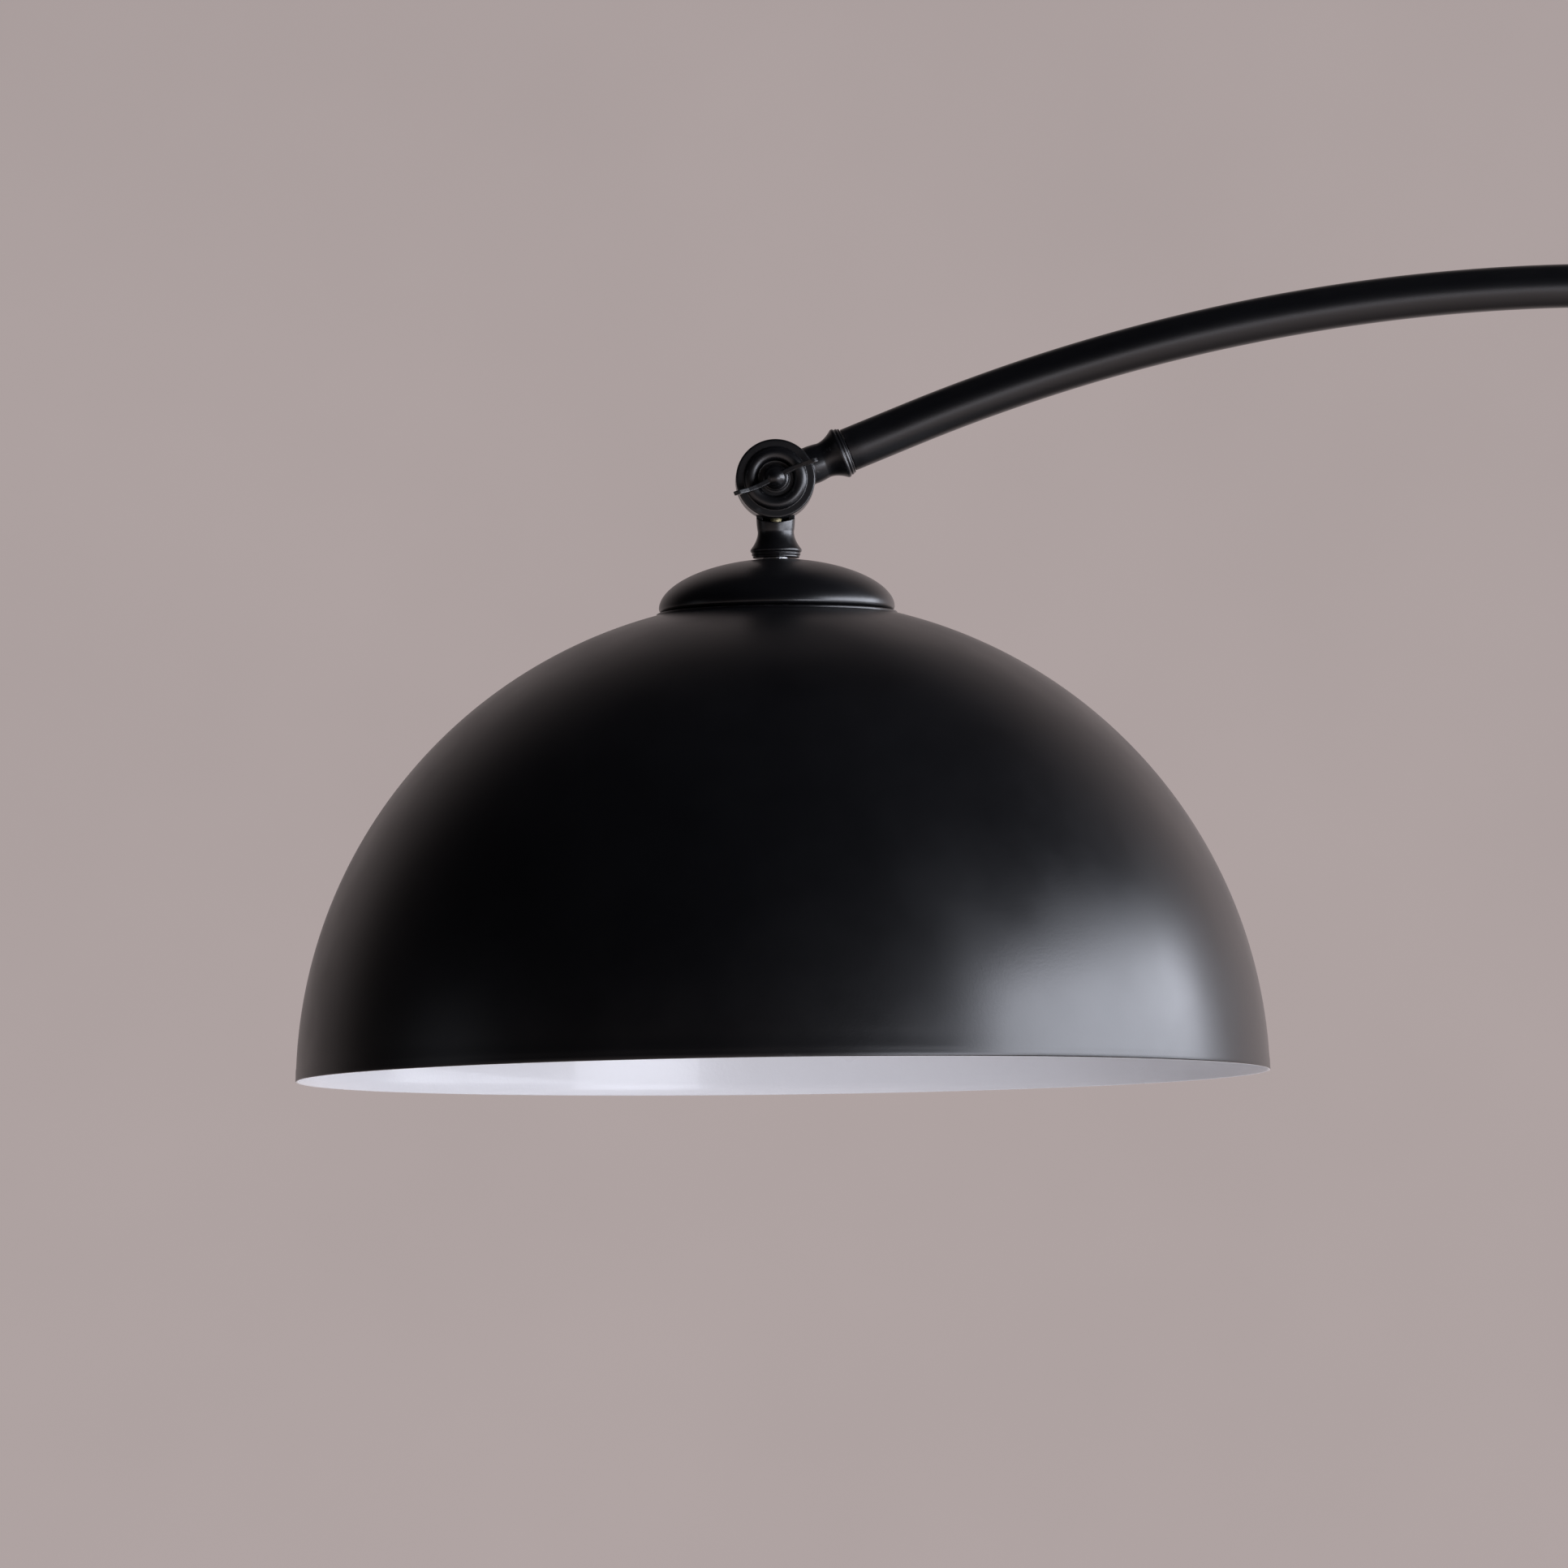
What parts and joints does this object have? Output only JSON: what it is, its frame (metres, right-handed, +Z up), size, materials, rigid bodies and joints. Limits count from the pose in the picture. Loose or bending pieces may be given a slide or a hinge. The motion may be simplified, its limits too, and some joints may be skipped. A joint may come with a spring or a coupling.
{
  "type": "arc floor lamp",
  "caption": "Arched floor lamp: weighted round base, slim pole, curved arm and a dome shade that tilts on a clamped knuckle.",
  "frame": {"origin": "middle of the base pad's underside, on the floor", "axes": "+Z up; the arm reaches towards -X; the thumb screw faces -Y"},
  "size_m": [1.3772, 0.4, 1.8599],
  "materials": {
    "black_lacquer": "satin black powder coat",
    "shade_lacquer": "spun aluminium, satin black outside, white inside",
    "plated_steel": "zinc-plated steel",
    "brass": "bare brass",
    "cast_iron": "rough cast iron, painted",
    "black_plastic": "moulded black phenolic",
    "white_plastic": "moulded white plastic",
    "opal": "opal white diffuser",
    "steatite": "unglazed steatite",
    "board": "white-masked aluminium board",
    "fibre": "pressed fibre",
    "felt": "black felt",
    "cable_sheath": "pale gold sheathed two-core cable"
  },
  "bodies": {
    "stand": {"base_pad": "felt", "base_weight": "cast_iron", "base_cover": "black_lacquer", "cable_inlet_bush": "black_plastic", "stud_washer": "plated_steel", "stud_nut": "plated_steel", "base_stud": "plated_steel", "pole_foot": "black_lacquer", "pole_plug": "plated_steel", "pole_lower_tube": "black_lacquer", "pole_joiner": "black_lacquer", "pole_upper_tube": "black_lacquer", "arc_reducer": "black_lacquer", "arc_lower_tube": "black_lacquer", "arc_joiner": "black_lacquer", "arc_upper_tube": "black_lacquer", "arm_end_plug": "plated_steel", "arm_nipple": "plated_steel", "arm_knuckle_half": "black_lacquer", "stand_cable": "cable_sheath", "knuckle_cable": "cable_sheath"},
    "shade": {"shade_knuckle_half": "black_lacquer", "friction_washer": "fibre", "pivot_nut": "plated_steel", "shade_nipple": "plated_steel", "canopy_cap": "shade_lacquer", "shade_dome": "shade_lacquer", "clamp_washer": "plated_steel", "shade_nut": "plated_steel", "holder_cap": "black_plastic", "holder_skirt": "black_plastic", "contact_insulator": "steatite", "holder_screw_shell": "brass", "centre_contact": "brass", "terminal_screw_1": "brass", "terminal_screw_2": "brass", "bulb_contact": "plated_steel", "bulb_insulator": "black_plastic", "bulb_screw_cap": "plated_steel", "bulb_housing": "white_plastic", "bulb_diffuser": "opal", "led_board": "board", "shade_cable": "cable_sheath"},
    "clamp": {"thumb_washer": "black_lacquer"},
    "thumb_screw": {"thumb_screw": "black_lacquer"}
  },
  "joints": [
    {"name": "shade_tilt", "type": "hinge", "parent": "stand", "child": "shade", "pos_m": [-1.01272, 0, 1.77451], "axis": [0, 1, 0], "range_deg": [-40, 110], "deforming": ["knuckle_cable"]},
    {"name": "clamp_release", "type": "slide", "parent": "stand", "child": "clamp", "axis": [0, -1, 0], "range_m": [0, 0.001]},
    {"name": "thumb_screw_turn", "type": "hinge", "parent": "clamp", "child": "thumb_screw", "pos_m": [-1.01272, 0, 1.77451], "axis": [0, -1, 0], "range_deg": [0, 360]}
  ],
  "couplings": [
    {"joint": "clamp_release", "follows": "thumb_screw_turn", "m_per_rad": 0.000159}
  ]
}
